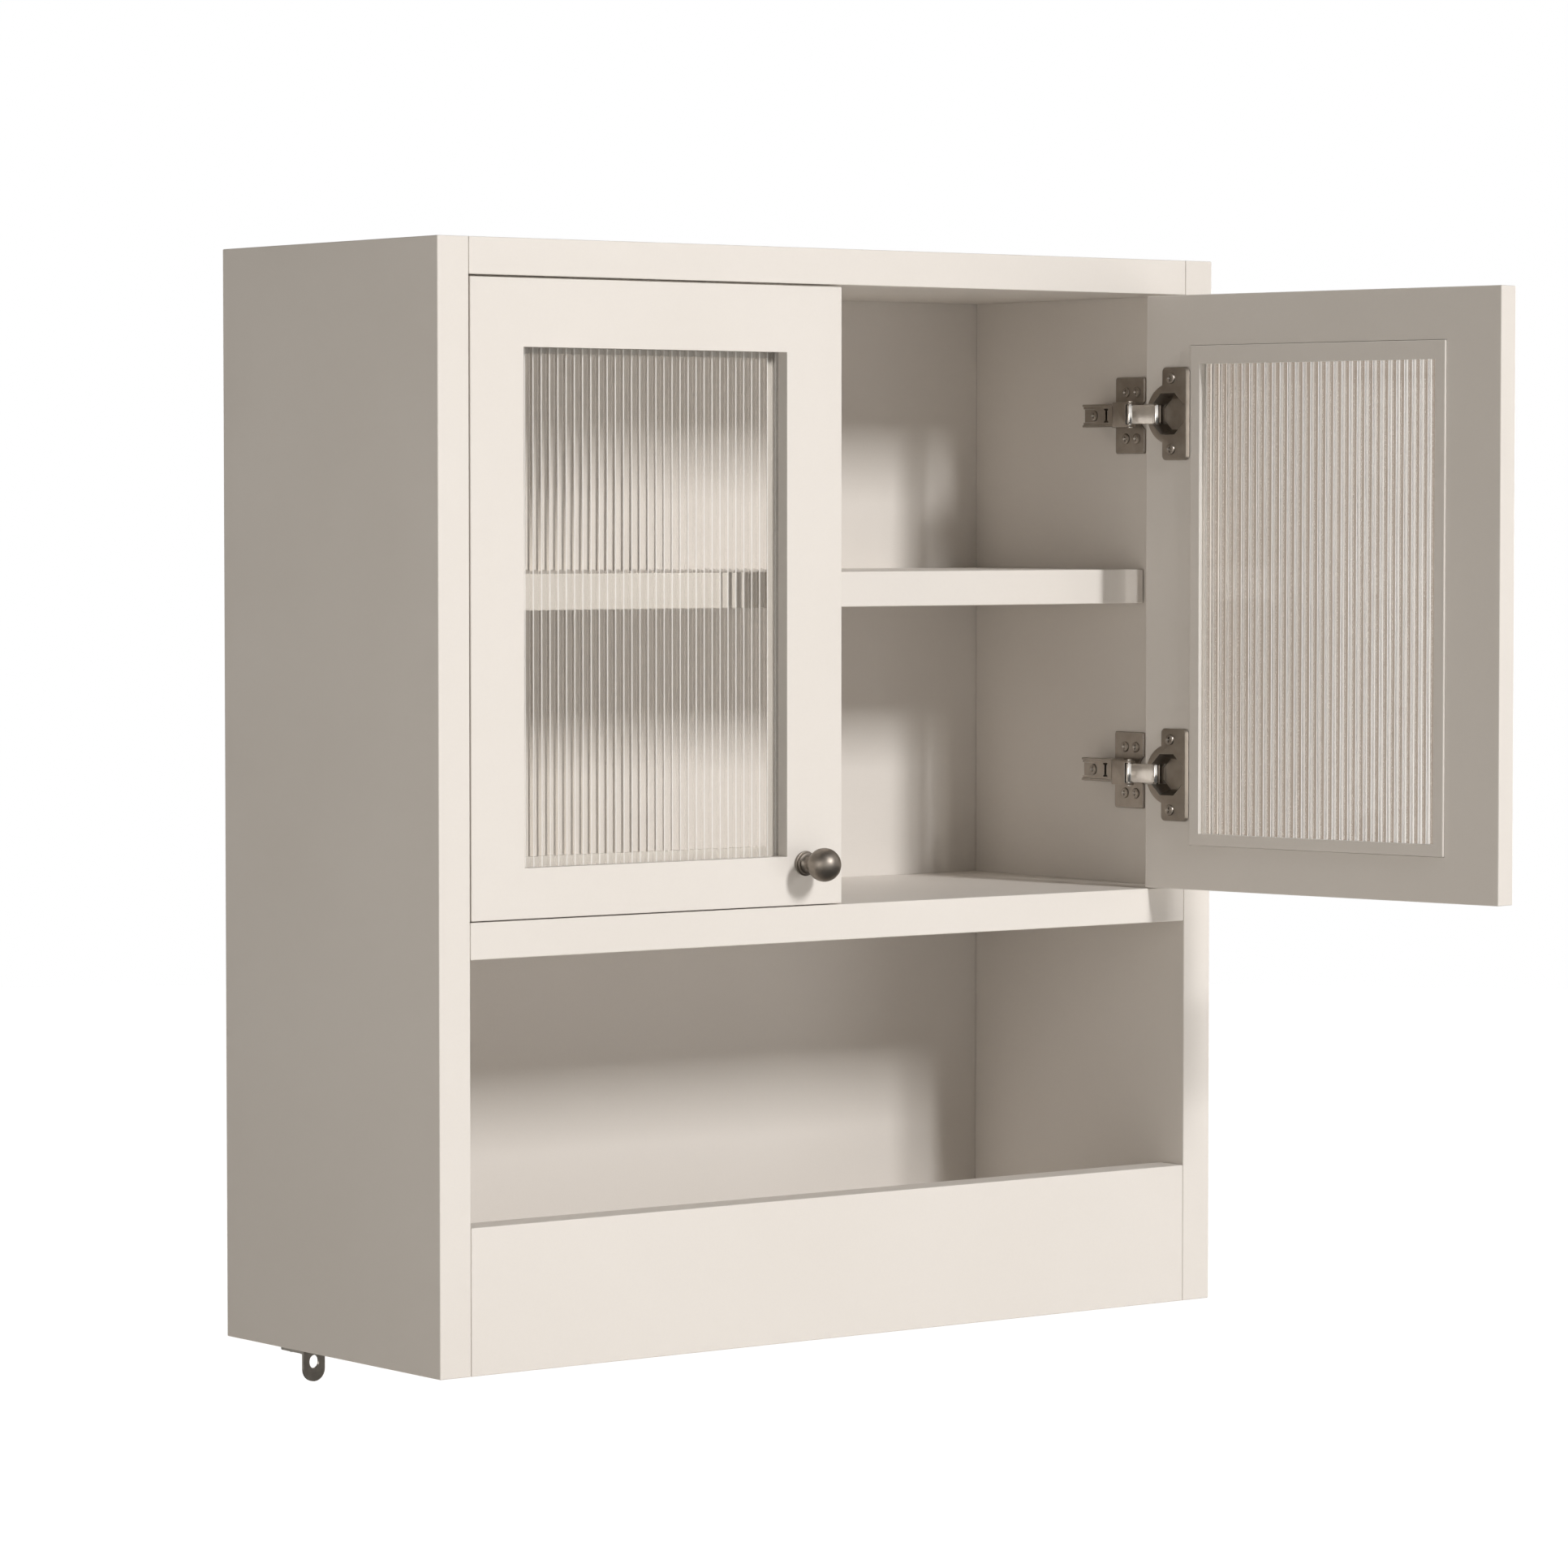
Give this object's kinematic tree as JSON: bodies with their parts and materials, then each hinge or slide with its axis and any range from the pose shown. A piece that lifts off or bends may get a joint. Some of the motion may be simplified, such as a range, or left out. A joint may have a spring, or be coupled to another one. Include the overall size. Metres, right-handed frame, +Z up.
{
  "type": "medicine cabinet",
  "caption": "Wall-hung bathroom cabinet with ribbed-glass doors on concealed hinges, an inner shelf and an open compartment behind a low apron.",
  "frame": {"origin": "middle of the hanging rail's rear face, on the wall, 35 mm below the cabinet's top", "axes": "+X to the cabinet's right seen from the front, +Y into the wall, +Z up"},
  "size_m": [0.6362, 0.5035, 0.6895],
  "materials": {
    "cream_paint": "satin paint on board",
    "rail_board": "bare board",
    "ribbed_glass": "clear, vertical ribs",
    "pewter": "satin dark pewter",
    "dark_nickel": "dark nickel plate",
    "bright_link": "bright plate",
    "zinc_steel": "zinc plated"
  },
  "bodies": {
    "carcass": {"back_panel": "cream_paint", "bottom_panel": "cream_paint", "divider_panel": "cream_paint", "front_apron": "cream_paint", "hanging_rail": "rail_board", "lower_rail": "rail_board", "middle_shelf": "cream_paint", "top_panel": "cream_paint", "left_side_panel": "cream_paint", "left_front_shelf_pin": "zinc_steel", "left_bracket_front_screw": "zinc_steel", "left_rear_shelf_pin": "zinc_steel", "left_bracket_rear_screw": "zinc_steel", "left_bracket": "zinc_steel", "left_lower_hinge_arm": "dark_nickel", "left_lower_hinge_arm_screw": "dark_nickel", "left_lower_hinge_plate": "dark_nickel", "left_upper_hinge_arm": "dark_nickel", "left_upper_hinge_arm_screw": "dark_nickel", "left_upper_hinge_plate": "dark_nickel", "right_side_panel": "cream_paint", "right_front_shelf_pin": "zinc_steel", "right_bracket_front_screw": "zinc_steel", "right_rear_shelf_pin": "zinc_steel", "right_bracket_rear_screw": "zinc_steel", "right_bracket": "zinc_steel", "right_lower_hinge_arm": "dark_nickel", "right_lower_hinge_arm_screw": "dark_nickel", "right_lower_hinge_plate": "dark_nickel", "right_upper_hinge_arm": "dark_nickel", "right_upper_hinge_arm_screw": "dark_nickel", "right_upper_hinge_plate": "dark_nickel"},
    "left_links": {"left_lower_hinge_link": "bright_link", "left_upper_hinge_link": "bright_link"},
    "left_door": {"left_door_frame": "cream_paint", "left_glass_pane": "ribbed_glass", "left_glass_retainer": "cream_paint", "left_knob": "pewter", "left_lower_hinge_cup": "dark_nickel", "left_lower_hinge_cup_top_screw": "dark_nickel", "left_lower_hinge_cup_bottom_screw": "dark_nickel", "left_upper_hinge_cup": "dark_nickel", "left_upper_hinge_cup_top_screw": "dark_nickel", "left_upper_hinge_cup_bottom_screw": "dark_nickel"},
    "right_links": {"right_lower_hinge_link": "bright_link", "right_upper_hinge_link": "bright_link"},
    "right_door": {"right_door_frame": "cream_paint", "right_glass_pane": "ribbed_glass", "right_glass_retainer": "cream_paint", "right_knob": "pewter", "right_lower_hinge_cup": "dark_nickel", "right_lower_hinge_cup_top_screw": "dark_nickel", "right_lower_hinge_cup_bottom_screw": "dark_nickel", "right_upper_hinge_cup": "dark_nickel", "right_upper_hinge_cup_top_screw": "dark_nickel", "right_upper_hinge_cup_bottom_screw": "dark_nickel"}
  },
  "joints": [
    {"name": "left_link_swing", "type": "hinge", "parent": "carcass", "child": "left_links", "pos_m": [-0.2498, -0.2134, -0.1785], "axis": [0, 0, -1], "range_deg": [-60, 0]},
    {"name": "left_door_swing", "type": "hinge", "parent": "left_links", "child": "left_door", "pos_m": [-0.2715, -0.224, -0.1785], "axis": [0, 0, -1], "range_deg": [0, 160.5]},
    {"name": "right_link_swing", "type": "hinge", "parent": "carcass", "child": "right_links", "pos_m": [0.2498, -0.2134, -0.1785], "axis": [0, 0, 1], "range_deg": [0, 60]},
    {"name": "right_door_swing", "type": "hinge", "parent": "right_links", "child": "right_door", "pos_m": [0.25147, -0.23749, -0.1785], "axis": [0, 0, 1], "range_deg": [-160.5, 0]}
  ],
  "couplings": [
    {"joint": "left_link_swing", "follows": "left_door_swing", "ratio": -0.37383},
    {"joint": "right_link_swing", "follows": "right_door_swing", "ratio": -0.37383}
  ]
}
